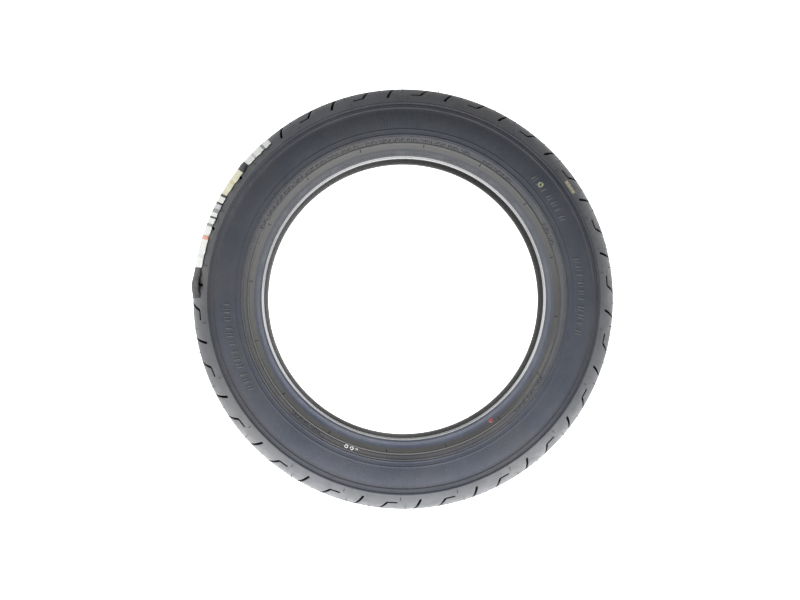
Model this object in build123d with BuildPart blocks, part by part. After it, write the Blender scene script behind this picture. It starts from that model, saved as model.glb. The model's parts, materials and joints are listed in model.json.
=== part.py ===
from build123d import *
from math import asin, atan2, cos, degrees, radians, sin
import os

# A 17-inch motorcycle tyre of bias construction, in millimetres, standing upright.
# The origin is the wheel centre and the axle is the Y axis: the near sidewall faces -Y.
# Every section is drawn as (distance from the centre plane, radius) and turned about the axle.
# A "turn" is an angle about the axle from the top towards +X, and a "lean" is an angle across
# the tread from the crown, both in degrees.

os.makedirs("parts", exist_ok=True)

# Tread and outer shape
tread_radius = 327.2
tread_arc_radius = 72.2
tread_edge_lean = 54.6
widest = (61.0, 268.0)
rim_line = (56.8, 247.5)
flange_top = (51.5, 237.0)
flange_base = (45.8, 224.5)

# Bead seat, for a 17-inch rim
bead_seat_radius = 215.9
heel_plane = 45.0
heel_radius = 4.0
seat_length = 8.0
toe_edge = (29.8, 214.3)
toe_tip = (29.2, 215.8)
cushion_inner_end = (32.2, 230.0)
joint_inner_end = (45.0, 237.0)  # hidden end of the joint between cushion and sidewall

# Layer thicknesses
cap_thickness = 9.7
base_thickness = 1.5
cord_thickness = 1.1
liner_thickness = 1.2
chafer_thickness = 0.8

# The carcass line: the outer face of the outer ply, followed from the crown to the bead
crown_sweep = 65.0
flank_arc_radius = 32.7
flank_sweep = 80.0
bead_approach = 3.1
approach_bend_radius = 12.7
pocket_bottom = 219.9
pocket_corner = 2.0
pocket_width = 6.6
pocket_climb = 2.1
lean_bend_radius = 12.0
filler_lean = 25.5
filler_tip_sweep = 59.3

# How far each layer runs up the filler, and where each layer of the crown ends
outer_ply_rise = 20.0
inner_ply_rise = 16.0
chafer_rise = 12.0
base_edge_lean = 52.0
inner_breaker_lean = 50.0
outer_breaker_lean = 45.0

# Bead wires
wire_diameter = 1.15
wire_pitch = 1.38
wire_clearance = 0.01
wires_each_way = 4
wire_centre = (37.8, 223.2)
wrap_top = 226.55
bead_reach = 60.0  # wider and taller than one bead

# Tread pattern: a hooked groove and a barred groove in every pitch, on both sides
pitches = 22
groove_width = 4.0
groove_depth = 6.0
groove_bend = 4.0
groove_lean = 23.8
groove_cutter_reach = 24.0  # more than the tread's fall from the groove's middle to its ends
hook_turn = 4.7
hook_points = [(-2.8, 46.5), (0.0, 46.5), (2.8, 13.0)]  # (turn, distance from the centre plane)
bar_turn = 13.0
bar_points = [(-1.4, 52.0), (1.1, 12.0), (5.5, 11.0)]

# Raised marks on the sidewalls
mark_height = 0.6
mark_radii = (262.6, 271.9)
mark_groups = [(46.75, 7), (77.0, 10), (239.0, 12)]  # (turn of the first mark, number of marks)
mark_spacing = 2.6
mark_sweep = 1.9
rim_rib_place = 0.16  # part of the way from the rim line to the flange's top
rim_rib_width = 2.4
rim_rib_height = 0.5
mark_root = 1.0

# Spews, label and painted marks
spew_radius = 0.45
spew_length = 4.0
spew_places = [(9.6, 22.0), (1.0, 54.5)]  # (turn, distance from the centre plane)
surface_gap = 0.06
label_turns = (270.0, 319.4)
label_lean = 38.0
label_lift = 0.3
label_thickness = 0.4
paint_thickness = 0.15
light_point_turn = 50.3
light_point_radii = (2.6, 4.5)
match_dot_turn = 144.7
match_dot_radius = 4.0
match_dot_place = 0.75  # part of the way from the flange's top to its base
inspection_turns = (198.2, 200.8)
inspection_radii = (1.6, 2.8)
inspection_place = 0.7  # part of the way from the rim line to the flange's top
shoulder_stamp_turn = 56.3
shoulder_stamp_length = 22.0
shoulder_stamp_leans = (46.0, 51.0)

# Worked-out places
tread_arc_centre = tread_radius - tread_arc_radius
carcass_depth = cap_thickness + base_thickness + 2 * cord_thickness
carcass_arc_radius = tread_arc_radius - carcass_depth
plies_depth = 2 * cord_thickness
chafer_depth = plies_depth + chafer_thickness
pitch = 360 / pitches
sides = (("near", -1), ("far", 1))


def tread_point(lean, depth=0.0):
    """A point of the section at this lean, depth inside the tread's surface."""
    radius = tread_arc_radius - depth
    return Vector(radius * sin(radians(lean)), tread_arc_centre + radius * cos(radians(lean)))


crown_centre = tread_point(0, tread_arc_radius)
flank_centre = tread_point(crown_sweep, carcass_depth + flank_arc_radius)


def draw_crown(depth, lean=crown_sweep):
    """Draw a layer's face across the crown, depth inside the carcass line."""
    return CenterArc(crown_centre, carcass_arc_radius - depth, 90, -lean)


def draw_flank(depth, start=0.0, stop=flank_sweep):
    """Draw a layer's face down the flank, between two sweeps from the shoulder."""
    return CenterArc(flank_centre, flank_arc_radius - depth, 90 - crown_sweep - start, start - stop)


def draw_bead_turn(start, direction, depth, rise):
    """Draw a layer's face on from the flank: in to the bead, under the wires and up the filler."""
    approach = Line(start, start + direction * bead_approach)
    bend_turn = crown_sweep + flank_sweep - 90
    bend = JernArc(approach @ 1, direction, approach_bend_radius + depth, bend_turn)
    drop = Line(bend @ 1, ((bend @ 1).X, pocket_bottom + pocket_corner))
    corner_in = JernArc(drop @ 1, (0, -1), pocket_corner + depth, 90)
    base = Line(corner_in @ 1, corner_in @ 1 + Vector(pocket_width - 2 * pocket_corner, 0))
    corner_out = JernArc(base @ 1, (1, 0), pocket_corner + depth, 90)
    climb = Line(corner_out @ 1, corner_out @ 1 + Vector(0, pocket_climb))
    lean = JernArc(climb @ 1, (0, 1), lean_bend_radius - depth, -filler_lean)
    return Line(lean @ 1, lean @ 1 + (lean % 1) * rise)


def ply_section(depth, rise):
    """A body ply from bead to bead, turned up round both bundles of wire."""
    with BuildSketch() as section:
        with BuildLine():
            ends = []
            for face_depth in (depth, depth + cord_thickness):
                crown = draw_crown(face_depth)
                flank = draw_flank(face_depth)
                rise_line = draw_bead_turn(flank @ 1, flank % 1, face_depth, rise)
                ends.append((crown @ 0, rise_line @ 1))
            Line(ends[0][0], ends[1][0])
            Line(ends[0][1], ends[1][1])
        make_face()
        mirror(about=Plane.YZ)
    return section.sketch


def crown_section(depth, thickness, lean):
    """A layer that lies across the crown only, out to the same lean on both sides."""
    with BuildSketch() as section:
        with BuildLine():
            top = draw_crown(depth, lean)
            bottom = draw_crown(depth + thickness, lean)
            Line(top @ 0, bottom @ 0)
            Line(top @ 1, bottom @ 1)
        make_face()
        mirror(about=Plane.YZ)
    return section.sketch


def pocket_section(depth, rise):
    """All that a layer's face at this depth wraps round at the bead."""
    with BuildSketch() as section:
        with BuildLine():
            flank = draw_flank(depth, filler_tip_sweep)
            rise_line = draw_bead_turn(flank @ 1, flank % 1, depth, rise)
            Line(rise_line @ 1, flank @ 0)
        make_face()
    return section.sketch


# Sections. Those of a single side are drawn on the +Y side.

outer_ply_section = ply_section(0, outer_ply_rise)
inner_ply_section = ply_section(cord_thickness, inner_ply_rise)
inner_breaker_section = crown_section(-cord_thickness, cord_thickness, inner_breaker_lean)
outer_breaker_section = crown_section(-2 * cord_thickness, cord_thickness, outer_breaker_lean)

with BuildSketch() as base_section:
    add(crown_section(-2 * cord_thickness - base_thickness, 2 * cord_thickness + base_thickness, base_edge_lean))
    add(inner_breaker_section, mode=Mode.SUBTRACT)
    add(outer_breaker_section, mode=Mode.SUBTRACT)

with BuildSketch() as cap_section:
    with BuildLine():
        cap_top = CenterArc(crown_centre, tread_arc_radius, 90, -tread_edge_lean)
        cap_bottom = CenterArc(crown_centre, tread_arc_radius - cap_thickness, 90, -base_edge_lean)
        Line(cap_top @ 0, cap_bottom @ 0)
        Line(cap_top @ 1, cap_bottom @ 1)
    make_face()
    mirror(about=Plane.YZ)

with BuildSketch() as liner_section:
    with BuildLine():
        liner_ends = []
        for face_depth in (plies_depth, plies_depth + liner_thickness):
            liner_crown = draw_crown(face_depth)
            liner_flank = draw_flank(face_depth)
            liner_ends.append((liner_crown @ 0, liner_flank @ 1))
        Line(liner_ends[0][0], liner_ends[1][0])
        Line(liner_ends[0][1], liner_ends[1][1])
    make_face()
    mirror(about=Plane.YZ)

bead_pocket = pocket_section(0, outer_ply_rise)

with BuildSketch() as wire_section:
    with Locations(wire_centre):
        with GridLocations(wire_pitch, wire_pitch, wires_each_way, wires_each_way):
            Circle(wire_diameter / 2)

with BuildSketch() as wire_hole_section:
    with Locations(wire_centre):
        with GridLocations(wire_pitch, wire_pitch, wires_each_way, wires_each_way):
            Circle(wire_diameter / 2 + wire_clearance)

with BuildSketch() as wrap_section:
    add(bead_pocket)
    with Locations((wire_centre[0], wrap_top)):
        Rectangle(bead_reach, bead_reach, align=(Align.CENTER, Align.MIN), mode=Mode.SUBTRACT)
    add(wire_hole_section.sketch, mode=Mode.SUBTRACT)

with BuildSketch() as filler_section:
    add(bead_pocket)
    with Locations((wire_centre[0], wrap_top)):
        Rectangle(bead_reach, bead_reach, align=(Align.CENTER, Align.MAX), mode=Mode.SUBTRACT)

with BuildSketch() as chafer_section:
    with BuildLine():
        chafer_ends = []
        for face_depth in (plies_depth, chafer_depth):
            flank = CenterArc(
                flank_centre, flank_arc_radius - face_depth, 90 - crown_sweep, -flank_sweep, mode=Mode.PRIVATE
            )
            chafer_rise_line = draw_bead_turn(flank @ 1, flank % 1, face_depth, chafer_rise)
            chafer_ends.append((flank @ 1, chafer_rise_line @ 1))
        Line(chafer_ends[0][0], chafer_ends[1][0])
        Line(chafer_ends[0][1], chafer_ends[1][1])
    make_face()

with BuildSketch() as cushion_section:
    with BuildLine():
        seat_end = (heel_plane - heel_radius, bead_seat_radius)
        heel_start = (heel_plane, bead_seat_radius + heel_radius)
        seat_start = (heel_plane - heel_radius - seat_length, bead_seat_radius)
        Polyline(cushion_inner_end, joint_inner_end, flange_top, flange_base, heel_start)
        RadiusArc(heel_start, seat_end, heel_radius)
        Polyline(seat_end, seat_start, toe_edge, toe_tip, cushion_inner_end)
    make_face()
    add(pocket_section(chafer_depth, chafer_rise), mode=Mode.SUBTRACT)

lower_flank = Vector(flange_top) - Vector(rim_line)

with BuildSketch() as sidewall_section:
    with BuildLine():
        edge = tread_point(tread_edge_lean)
        upper = ThreePointArc(edge, widest, rim_line)
        cap_joint = Line(edge, tread_point(base_edge_lean, cap_thickness))
        base_joint = Line(cap_joint @ 1, tread_point(base_edge_lean, carcass_depth + cord_thickness / 2))
        hidden_depth = cord_thickness / 2
        under_crown = CenterArc(
            crown_centre,
            carcass_arc_radius - hidden_depth,
            90 - base_edge_lean,
            base_edge_lean - crown_sweep,
        )
        under_flank = draw_flank(hidden_depth, 0, filler_tip_sweep)
        Polyline(under_flank @ 1, joint_inner_end, flange_top, rim_line)
    make_face()
    add(outer_ply_section, mode=Mode.SUBTRACT)
    add(inner_ply_section, mode=Mode.SUBTRACT)
    add(filler_section.sketch, mode=Mode.SUBTRACT)
    add(chafer_section.sketch, mode=Mode.SUBTRACT)
    add(cushion_section.sketch, mode=Mode.SUBTRACT)

    with Locations(Vector(rim_line) + lower_flank * rim_rib_place):
        Rectangle(rim_rib_width, 2 * rim_rib_height, rotation=degrees(atan2(lower_flank.Y, lower_flank.X)))

with BuildSketch() as mark_section:
    with Locations((widest[0] - mark_root, sum(mark_radii) / 2)):
        Rectangle(mark_root + mark_height, mark_radii[1] - mark_radii[0], align=(Align.MIN, Align.CENTER))


# Pieces that run right across the tyre

with BuildPart() as inner_liner:
    with BuildSketch(Plane.YZ):
        add(liner_section.sketch)
    revolve(axis=Axis.Y)
inner_liner.part.label = "inner_liner"
export_step(inner_liner.part, "parts/inner_liner.step")

with BuildPart() as body_ply_inner:
    with BuildSketch(Plane.YZ):
        add(inner_ply_section)
    revolve(axis=Axis.Y)
body_ply_inner.part.label = "body_ply_inner"
export_step(body_ply_inner.part, "parts/body_ply_inner.step")

with BuildPart() as body_ply_outer:
    with BuildSketch(Plane.YZ):
        add(outer_ply_section)
    revolve(axis=Axis.Y)
body_ply_outer.part.label = "body_ply_outer"
export_step(body_ply_outer.part, "parts/body_ply_outer.step")

with BuildPart() as breaker_inner:
    with BuildSketch(Plane.YZ):
        add(inner_breaker_section)
    revolve(axis=Axis.Y)
breaker_inner.part.label = "breaker_inner"
export_step(breaker_inner.part, "parts/breaker_inner.step")

with BuildPart() as breaker_outer:
    with BuildSketch(Plane.YZ):
        add(outer_breaker_section)
    revolve(axis=Axis.Y)
breaker_outer.part.label = "breaker_outer"
export_step(breaker_outer.part, "parts/breaker_outer.step")

with BuildPart() as tread_base:
    with BuildSketch(Plane.YZ):
        add(base_section.sketch)
    revolve(axis=Axis.Y)
tread_base.part.label = "tread_base"
export_step(tread_base.part, "parts/tread_base.step")


# Tread cap. Each groove is cut straight down along the tread's normal at groove_lean, to a curved floor.

groove_point = tread_point(groove_lean)
groove_plane = Plane(
    origin=(0, -groove_point.X, groove_point.Y),
    x_dir=(1, 0, 0),
    z_dir=(0, -sin(radians(groove_lean)), cos(radians(groove_lean))),
)


def on_groove_plane(turn, lateral):
    """A point of the tread, given by turn and distance from the centre plane, seen along the groove's normal."""
    lean = asin(lateral / tread_arc_radius)
    return (
        tread_point(degrees(lean)).Y * radians(turn),
        tread_arc_radius * sin(radians(groove_lean) - lean),
    )


groove_zone_turn = 2 * pitch
with BuildPart() as groove_zone:
    with BuildSketch(Plane.YZ):
        with BuildLine():
            zone_top = CenterArc(crown_centre, tread_arc_radius + groove_depth, 90, tread_edge_lean)
            zone_floor = CenterArc(crown_centre, tread_arc_radius - groove_depth, 90, tread_edge_lean)
            Line(zone_top @ 0, zone_floor @ 0)
            Line(zone_top @ 1, zone_floor @ 1)
        make_face()
    revolve(axis=Axis.Y, revolution_arc=groove_zone_turn)
zone = groove_zone.part.rotate(Axis.Y, -groove_zone_turn / 2)

with BuildPart() as hook_groove:
    with BuildSketch(groove_plane):
        with BuildLine():
            FilletPolyline([on_groove_plane(*point) for point in hook_points], radius=groove_bend)
        trace(line_width=groove_width)
    extrude(amount=groove_cutter_reach, both=True)
    add(zone, mode=Mode.INTERSECT)

with BuildPart() as bar_groove:
    with BuildSketch(groove_plane):
        with BuildLine():
            FilletPolyline([on_groove_plane(*point) for point in bar_points], radius=groove_bend)
        trace(line_width=groove_width)
    extrude(amount=groove_cutter_reach, both=True)
    add(zone, mode=Mode.INTERSECT)

far_shift = pitch / 2  # the far side's pattern runs half a pitch behind the near side's
groove_cutters = []
for k in range(pitches):
    groove_cutters += [
        Rotation(0, hook_turn + k * pitch, 0) * hook_groove.part,
        Rotation(0, bar_turn + k * pitch, 0) * bar_groove.part,
        Rotation(0, hook_turn + far_shift + k * pitch, 0) * hook_groove.part.mirror(Plane.XZ),
        Rotation(0, bar_turn + far_shift + k * pitch, 0) * bar_groove.part.mirror(Plane.XZ),
    ]

with BuildPart() as tread_cap:
    with BuildSketch(Plane.YZ):
        add(cap_section.sketch)
    revolve(axis=Axis.Y)
    add(groove_cutters, mode=Mode.SUBTRACT)
tread_cap.part.label = "tread_cap"
export_step(tread_cap.part, "parts/tread_cap.step")


# Pieces that each side has its own of

for side, direction in sides:
    with BuildPart() as sidewall_mark:
        with BuildSketch(Plane.YZ):
            add(mark_section.sketch)
            if side == "near":
                mirror(about=Plane.YZ, mode=Mode.REPLACE)
        revolve(axis=Axis.Y, revolution_arc=mark_sweep)

    mark_places = [
        Rotation(0, first + k * mark_spacing, 0) for first, count in mark_groups for k in range(count)
    ]
    with BuildPart() as sidewall:
        with BuildSketch(Plane.YZ):
            add(sidewall_section.sketch)
            if side == "near":
                mirror(about=Plane.YZ, mode=Mode.REPLACE)
        revolve(axis=Axis.Y)
        with Locations(mark_places):
            add(sidewall_mark.part)
    sidewall.part.label = f"sidewall_{side}"
    export_step(sidewall.part, f"parts/sidewall_{side}.step")

    with BuildPart() as rim_cushion:
        with BuildSketch(Plane.YZ):
            add(cushion_section.sketch)
            if side == "near":
                mirror(about=Plane.YZ, mode=Mode.REPLACE)
        revolve(axis=Axis.Y)
    rim_cushion.part.label = f"rim_cushion_{side}"
    export_step(rim_cushion.part, f"parts/rim_cushion_{side}.step")

    with BuildPart() as chafer:
        with BuildSketch(Plane.YZ):
            add(chafer_section.sketch)
            if side == "near":
                mirror(about=Plane.YZ, mode=Mode.REPLACE)
        revolve(axis=Axis.Y)
    chafer.part.label = f"chafer_{side}"
    export_step(chafer.part, f"parts/chafer_{side}.step")

    with BuildPart() as bead_filler:
        with BuildSketch(Plane.YZ):
            add(filler_section.sketch)
            if side == "near":
                mirror(about=Plane.YZ, mode=Mode.REPLACE)
        revolve(axis=Axis.Y)
    bead_filler.part.label = f"bead_filler_{side}"
    export_step(bead_filler.part, f"parts/bead_filler_{side}.step")

    with BuildPart() as bead_wrap:
        with BuildSketch(Plane.YZ):
            add(wrap_section.sketch)
            if side == "near":
                mirror(about=Plane.YZ, mode=Mode.REPLACE)
        revolve(axis=Axis.Y)
    bead_wrap.part.label = f"bead_wrap_{side}"
    export_step(bead_wrap.part, f"parts/bead_wrap_{side}.step")

    with BuildPart() as bead_wires:
        with BuildSketch(Plane.YZ):
            add(wire_section.sketch)
            if side == "near":
                mirror(about=Plane.YZ, mode=Mode.REPLACE)
        revolve(axis=Axis.Y)
    bead_wires.part.label = f"bead_wires_{side}"
    export_step(bead_wires.part, f"parts/bead_wires_{side}.step")


# Small pieces on the outside


def outside_plane(turn, point, lean, direction):
    """A plane on one side of the tyre, at a point of the section, facing out along the surface's normal."""
    upright = Plane(
        origin=(0, direction * point.X, point.Y),
        x_dir=(1, 0, 0),
        z_dir=(0, direction * sin(radians(lean)), cos(radians(lean))),
    )
    return Plane(Rotation(0, turn, 0) * upright.location)


with BuildPart() as vent_spews:
    for side, direction in sides:
        for place_turn, lateral in spew_places:
            lean = degrees(asin(lateral / tread_arc_radius))
            first_turn = place_turn + far_shift * (side == "far")
            turns = [(first_turn + k * pitch) % 360 for k in range(pitches)]
            if lean < label_lean:
                turns = [turn for turn in turns if not label_turns[0] < turn < label_turns[1]]
            for turn in turns:
                with BuildSketch(outside_plane(turn, tread_point(lean, -surface_gap), lean, direction)):
                    Circle(spew_radius)
                extrude(amount=spew_length)
vent_spews.part.label = "vent_spews"
export_step(vent_spews.part, "parts/vent_spews.step")

with BuildPart() as tread_label:
    with BuildSketch(Plane(Rotation(0, label_turns[0], 0) * Plane.YZ.location)):
        with BuildLine():
            label_inside = CenterArc(crown_centre, tread_arc_radius + label_lift, 90 - label_lean, 2 * label_lean)
            label_outside = CenterArc(
                crown_centre, tread_arc_radius + label_lift + label_thickness, 90 - label_lean, 2 * label_lean
            )
            Line(label_inside @ 0, label_outside @ 0)
            Line(label_inside @ 1, label_outside @ 1)
        make_face()
    revolve(axis=Axis.Y, revolution_arc=label_turns[1] - label_turns[0])
tread_label.part.label = "tread_label"
export_step(tread_label.part, "parts/tread_label.step")

with BuildPart() as shoulder_stamp:
    stamp_turn = degrees(shoulder_stamp_length / tread_point(shoulder_stamp_leans[0]).Y)
    with BuildSketch(Plane(Rotation(0, shoulder_stamp_turn - stamp_turn / 2, 0) * Plane.YZ.location)):
        with BuildLine():
            stamp_sweep = shoulder_stamp_leans[1] - shoulder_stamp_leans[0]
            stamp_start = 90 + shoulder_stamp_leans[0]
            stamp_inside = CenterArc(crown_centre, tread_arc_radius + surface_gap, stamp_start, stamp_sweep)
            stamp_outside = CenterArc(
                crown_centre, tread_arc_radius + surface_gap + paint_thickness, stamp_start, stamp_sweep
            )
            Line(stamp_inside @ 0, stamp_outside @ 0)
            Line(stamp_inside @ 1, stamp_outside @ 1)
        make_face()
    revolve(axis=Axis.Y, revolution_arc=stamp_turn)
shoulder_stamp.part.label = "shoulder_stamp"
export_step(shoulder_stamp.part, "parts/shoulder_stamp.step")

mark_top = Vector(widest) + Vector(mark_height + surface_gap, 0)
with BuildPart() as light_point_dot:
    with BuildSketch(outside_plane(light_point_turn, mark_top, 90, -1)):
        Circle(light_point_radii[1])
        Circle(light_point_radii[0], mode=Mode.SUBTRACT)
    extrude(amount=paint_thickness)
light_point_dot.part.label = "light_point_dot"
export_step(light_point_dot.part, "parts/light_point_dot.step")


def flat_on_flank(start, end, part_way):
    """A point just clear of a straight stretch of the flank, and the lean of the surface there."""
    along = Vector(end) - Vector(start)
    lean = 90 + degrees(atan2(-along.X, -along.Y))
    normal = Vector(sin(radians(lean)), cos(radians(lean)))
    return Vector(start) + along * part_way + normal * surface_gap, lean


dot_point, dot_lean = flat_on_flank(flange_top, flange_base, match_dot_place)
with BuildPart() as match_dot:
    with BuildSketch(outside_plane(match_dot_turn, dot_point, dot_lean, -1)):
        Circle(match_dot_radius)
    extrude(amount=paint_thickness)
match_dot.part.label = "match_dot"
export_step(match_dot.part, "parts/match_dot.step")

inspection_point, inspection_lean = flat_on_flank(rim_line, flange_top, inspection_place)
with BuildPart() as inspection_stamp:
    for turn in inspection_turns:
        with BuildSketch(outside_plane(turn, inspection_point, inspection_lean, -1)):
            Circle(inspection_radii[1])
            Circle(inspection_radii[0], mode=Mode.SUBTRACT)
        extrude(amount=paint_thickness)
inspection_stamp.part.label = "inspection_stamp"
export_step(inspection_stamp.part, "parts/inspection_stamp.step")
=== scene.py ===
import json
import math
import random

import bmesh
import bpy
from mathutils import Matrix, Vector
from mathutils.geometry import delaunay_2d_cdt


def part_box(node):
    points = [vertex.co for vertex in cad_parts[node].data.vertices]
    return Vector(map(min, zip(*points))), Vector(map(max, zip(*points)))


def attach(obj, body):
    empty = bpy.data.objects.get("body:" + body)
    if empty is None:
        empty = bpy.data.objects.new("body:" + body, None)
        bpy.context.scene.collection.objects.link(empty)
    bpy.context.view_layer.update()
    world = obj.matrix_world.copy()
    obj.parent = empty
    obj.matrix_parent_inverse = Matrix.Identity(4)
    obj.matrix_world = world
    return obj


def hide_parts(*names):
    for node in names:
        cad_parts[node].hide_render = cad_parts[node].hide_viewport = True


# A motorcycle tyre, in metres. The axle is the Y axis and the near sidewall faces -Y.
# A "turn" is an angle about the axle from the top towards +X. A "lean" is an angle across the
# tread from the crown. "Lateral" is the distance from the centre plane, and is positive here
# for both sides: side -1 is the near side and side 1 the far side.

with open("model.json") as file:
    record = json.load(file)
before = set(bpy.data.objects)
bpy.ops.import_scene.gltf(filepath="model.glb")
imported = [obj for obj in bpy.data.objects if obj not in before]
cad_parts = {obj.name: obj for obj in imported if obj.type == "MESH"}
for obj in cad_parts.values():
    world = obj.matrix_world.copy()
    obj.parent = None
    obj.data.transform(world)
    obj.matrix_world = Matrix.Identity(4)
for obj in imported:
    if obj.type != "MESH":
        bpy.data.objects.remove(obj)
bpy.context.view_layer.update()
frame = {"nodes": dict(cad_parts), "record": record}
MM = 0.001
random.seed(17)

# ---------------------------------------------------------------- sizes that the CAD model gives
tread_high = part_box("tread_cap")[1]
wall_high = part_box("sidewall_far")[1]
seat_radius = next(m for m in frame["record"]["mounts"] if m["kind"] == "bore")["dims"]["r_mm"] * MM
crown_radius = tread_high.z
edge_lateral = tread_high.y
edge_radius = wall_high.z
edge_drop = crown_radius - edge_radius
tread_arc = (edge_lateral**2 + edge_drop**2) / (2 * edge_drop)
tread_centre = crown_radius - tread_arc
edge_lean = math.asin(edge_lateral / tread_arc)
mark_height = 0.6 * MM
widest_lateral = wall_high.y - mark_height
heel_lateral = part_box("rim_cushion_far")[1].y

# ---------------------------------------------------------------- the section's other places
WIDEST_RADIUS = 268 * MM
RIM_LINE = (56.8 * MM, 247.5 * MM)
FLANGE_TOP = (heel_lateral, 237 * MM)
FLANGE_BASE = (45.8 * MM, 224.5 * MM)
HEEL_LATERAL = 45 * MM
HEEL_ROUND = 4 * MM
SEAT_LENGTH = 8 * MM


def circle_through(a, b, c):
    """Centre and radius of the circle through three points of the section."""
    ax, ay, bx, by, cx, cy = *a, *b, *c
    d = 2 * (ax * (by - cy) + bx * (cy - ay) + cx * (ay - by))
    a2, b2, c2 = ax * ax + ay * ay, bx * bx + by * by, cx * cx + cy * cy
    ux = (a2 * (by - cy) + b2 * (cy - ay) + c2 * (ay - by)) / d
    uy = (a2 * (cx - bx) + b2 * (ax - cx) + c2 * (bx - ax)) / d
    return (ux, uy), math.hypot(ax - ux, ay - uy)


TREAD_EDGE = (edge_lateral, edge_radius)
flank_centre, flank_radius = circle_through(TREAD_EDGE, (widest_lateral, WIDEST_RADIUS), RIM_LINE)


def flank_lateral(radius):
    """How far the flank's plain surface is from the centre plane at this radius."""
    if radius >= RIM_LINE[1]:
        return flank_centre[0] + math.sqrt(flank_radius**2 - (radius - flank_centre[1]) ** 2)
    if radius >= FLANGE_TOP[1]:
        start, end = RIM_LINE, FLANGE_TOP
    else:
        start, end = FLANGE_TOP, FLANGE_BASE
    part = (start[1] - radius) / (start[1] - end[1])
    return start[0] + part * (end[0] - start[0])


def flank_point(turn, radius, height, side):
    """A point of a sidewall, height above its plain surface along the surface's normal."""
    step = 0.3 * MM
    slope = (flank_lateral(radius + step) - flank_lateral(radius - step)) / (2 * step)
    length = math.hypot(1, slope)
    lateral = flank_lateral(radius) + height / length
    out = radius - height * slope / length
    return Vector((out * math.sin(turn), side * lateral, out * math.cos(turn)))


def tread_point(turn, lean, depth, side=1):
    """A point depth inside the tread's surface."""
    reach = tread_arc - depth
    radius = tread_centre + reach * math.cos(lean)
    return Vector((radius * math.sin(turn), side * reach * math.sin(lean), radius * math.cos(turn)))


# ---------------------------------------------------------------- mesh helpers
def new_piece(name, verts, faces, material, replaces=(), merge=0.0, smooth=True):
    """Make a mesh piece that rides on the tyre."""
    mesh = bpy.data.meshes.new(name)
    mesh.from_pydata([tuple(v) for v in verts], [], faces)
    bm = bmesh.new()
    bm.from_mesh(mesh)
    if merge:
        bmesh.ops.remove_doubles(bm, verts=bm.verts, dist=merge)
    bmesh.ops.recalc_face_normals(bm, faces=bm.faces)
    bm.to_mesh(mesh)
    bm.free()
    mesh.polygons.foreach_set("use_smooth", [smooth] * len(mesh.polygons))
    piece = bpy.data.objects.new(name, mesh)
    bpy.context.scene.collection.objects.link(piece)
    mesh.materials.append(material)
    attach(piece, "root")
    if replaces:
        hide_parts(*replaces)
    return piece


def turned_ring(profile, side, segments):
    """Vertices and faces of a closed outline of (lateral, radius) points turned about the axle."""
    verts = []
    for k in range(segments):
        turn = 2 * math.pi * k / segments
        verts += [(r * math.sin(turn), side * lateral, r * math.cos(turn)) for lateral, r in profile]
    count = len(profile)
    faces = []
    for k in range(segments):
        here, there = k * count, (k + 1) % segments * count
        for i in range(count):
            j = (i + 1) % count
            faces.append((here + i, here + j, there + j, there + i))
    return verts, faces


def add_block(verts, faces, place, across, along, height, bevel=0.2 * MM, skirt=0.15 * MM):
    """Add a raised block with soft edges. place(u, v, h) gives a point, u and v in metres."""
    shoulder = 0.75 * height

    def stations(low, high, step):
        steps = max(2, int((high - low) / step))
        inner = [low + bevel + (high - low - 2 * bevel) * i / steps for i in range(steps + 1)]
        rise = [(low - bevel, -skirt), (low, shoulder)]
        fall = [(high, shoulder), (high + bevel, -skirt)]
        return rise + [(w, height) for w in inner] + fall

    us, vs = stations(*across, 1.5 * MM), stations(*along, 2.5 * MM)
    start = len(verts)
    for u, hu in us:
        verts += [place(u, v, min(hu, hv)) for v, hv in vs]
    for i in range(len(us) - 1):
        for j in range(len(vs) - 1):
            a = start + i * len(vs) + j
            faces.append((a, a + 1, a + len(vs) + 1, a + len(vs)))


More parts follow.
